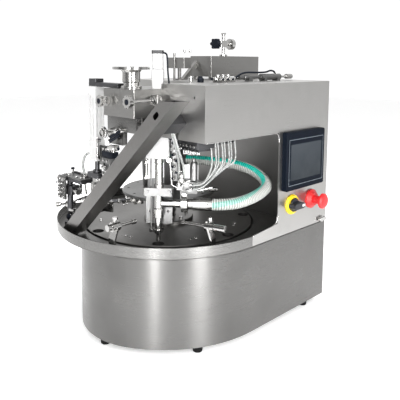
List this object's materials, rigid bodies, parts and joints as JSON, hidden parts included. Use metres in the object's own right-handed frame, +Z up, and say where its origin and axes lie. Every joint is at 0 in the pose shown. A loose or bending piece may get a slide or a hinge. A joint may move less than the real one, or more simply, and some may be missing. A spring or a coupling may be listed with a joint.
{
  "type": "bottle filling and capping machine",
  "caption": "Benchtop rotary machine in stainless sheet: an indexing turntable carries bottles under a filling valve and a capping chuck, with a cap chute and a side control panel",
  "frame": {"origin": "centre of the whole machine's plan outline, on the floor under its feet", "axes": "Z up, X out of the side with the control panel, Y to the rear with the inlets"},
  "size_m": [0.655, 0.6414, 0.7585],
  "materials": {
    "stainless": "satin",
    "turntable_steel": "satin",
    "bright_steel": "polished",
    "white_aluminium": "satin",
    "dark_anodised": "satin",
    "grey_paint": "satin",
    "cast_housing": "matte",
    "black_plastic": "matte",
    "screen_glass": "gloss",
    "red_plastic": "gloss",
    "black_rubber": "matte",
    "belt_rubber": "matte",
    "hose_plastic": "translucent",
    "fitting_brass": "satin"
  },
  "bodies": {
    "frame": {"base_cabinet": "stainless", "base_floor": "stainless", "rubber_feet": "black_rubber", "cabinet_bolts": "bright_steel", "table_deck": "stainless", "pan_plate": "stainless", "table_rim": "stainless", "upper_housing": "stainless", "rear_cover": "stainless", "cord_gland": "black_plastic", "air_inlet": "fitting_brass", "bearing_housing": "cast_housing", "main_bearing": "bright_steel", "index_gearbox": "cast_housing", "drive_motor": "grey_paint", "drive_belt": "belt_rubber", "centre_post": "turntable_steel", "centre_plate": "turntable_steel", "lift_head": "stainless", "lift_cylinder": "white_aluminium", "filling_mount": "white_aluminium", "dosing_cylinder": "bright_steel", "station_plate": "white_aluminium", "filling_valve": "bright_steel", "hose_fitting": "bright_steel", "product_hose": "hose_plastic", "product_manifold": "white_aluminium", "product_inlet": "bright_steel", "capping_cylinder": "white_aluminium", "cap_chute": "stainless", "head_brackets": "dark_anodised", "rim_brackets": "bright_steel", "guide_rods": "bright_steel", "cap_track": "dark_anodised", "stop_cylinder": "white_aluminium", "top_box": "stainless", "regulator": "bright_steel", "top_cylinder": "white_aluminium", "control_panel": "black_plastic", "panel_screen": "screen_glass", "control_rings": "black_plastic"},
    "turntable": {"turntable": "turntable_steel", "turntable_screws": "bright_steel", "clamp_hub": "turntable_steel", "drive_shaft": "turntable_steel"},
    "input_pulley": {"input_pulley": "white_aluminium"},
    "motor_pulley": {"motor_pulley": "white_aluminium"},
    "nozzle": {"nozzle_tube": "bright_steel", "lift_rod": "bright_steel"},
    "capping_slide": {"capping_rod": "dark_anodised"},
    "capping_chuck": {"capping_chuck": "bright_steel"},
    "cap_pusher": {"cap_pusher": "bright_steel"},
    "stop_rod": {"stop_rod": "bright_steel"},
    "top_cylinder_rod": {"top_cylinder_rod": "bright_steel"},
    "flow_knob": {"flow_knob": "dark_anodised"},
    "stroke_knob": {"stroke_knob": "dark_anodised"},
    "regulator_knob": {"regulator_knob": "black_plastic"},
    "selector_knob": {"selector_knob": "black_plastic"},
    "stop_button": {"stop_button": "red_plastic"},
    "latch_handle": {"latch_handle": "bright_steel"}
  },
  "joints": [
    {"name": "turntable_spin", "type": "hinge", "parent": "frame", "child": "turntable", "pos_m": [-0.023, -0.01625, 0.238], "axis": [0, 0, 1], "continuous": true},
    {"name": "input_pulley_spin", "type": "hinge", "parent": "frame", "child": "input_pulley", "pos_m": [0.071, -0.01625, 0.095], "axis": [1, 0, 0], "continuous": true},
    {"name": "motor_pulley_spin", "type": "hinge", "parent": "frame", "child": "motor_pulley", "pos_m": [0.071, 0.13375, 0.095], "axis": [1, 0, 0], "continuous": true},
    {"name": "nozzle_dip", "type": "slide", "parent": "frame", "child": "nozzle", "axis": [0, 0, 1], "range_m": [0, 0.025]},
    {"name": "capping_lift", "type": "slide", "parent": "frame", "child": "capping_slide", "axis": [0, 0, 1], "range_m": [-0.06, 0]},
    {"name": "capping_spin", "type": "hinge", "parent": "capping_slide", "child": "capping_chuck", "pos_m": [-0.058, -0.22725, 0.36], "axis": [0, 0, 1], "continuous": true},
    {"name": "cap_push", "type": "slide", "parent": "frame", "child": "cap_pusher", "axis": [1, 0, 0], "range_m": [0, 0.012]},
    {"name": "stop_slide", "type": "slide", "parent": "frame", "child": "stop_rod", "axis": [0.7431, 0.6691, 0], "range_m": [-0.01, 0.01]},
    {"name": "top_cylinder_slide", "type": "slide", "parent": "frame", "child": "top_cylinder_rod", "axis": [0, 1, 0], "range_m": [-0.022, 0]},
    {"name": "flow_knob_turn", "type": "hinge", "parent": "frame", "child": "flow_knob", "pos_m": [0.04, -0.27625, 0.583], "axis": [0, -1, 0], "range_deg": [-150, 150]},
    {"name": "stroke_knob_turn", "type": "hinge", "parent": "frame", "child": "stroke_knob", "pos_m": [0.15, -0.27625, 0.587], "axis": [0, -1, 0], "range_deg": [-150, 150]},
    {"name": "regulator_knob_turn", "type": "hinge", "parent": "frame", "child": "regulator_knob", "pos_m": [-0.003, 0.15375, 0.726], "axis": [0, -1, 0], "range_deg": [-150, 150]},
    {"name": "selector_turn", "type": "hinge", "parent": "frame", "child": "selector_knob", "pos_m": [0.2915, 0.13875, 0.309], "axis": [1, 0, 0], "range_deg": [-45, 45]},
    {"name": "stop_button_press", "type": "slide", "parent": "frame", "child": "stop_button", "axis": [1, 0, 0], "range_m": [-0.005, 0], "stiffness_N_per_m": 1200, "springref_m": 0.001},
    {"name": "latch_turn", "type": "hinge", "parent": "frame", "child": "latch_handle", "pos_m": [0.2855, 0.27875, 0.242], "axis": [1, 0, 0], "range_deg": [0, 90]}
  ],
  "couplings": [
    {"joint": "input_pulley_spin", "follows": "turntable_spin", "ratio": 7},
    {"joint": "motor_pulley_spin", "follows": "turntable_spin", "ratio": 7}
  ]
}
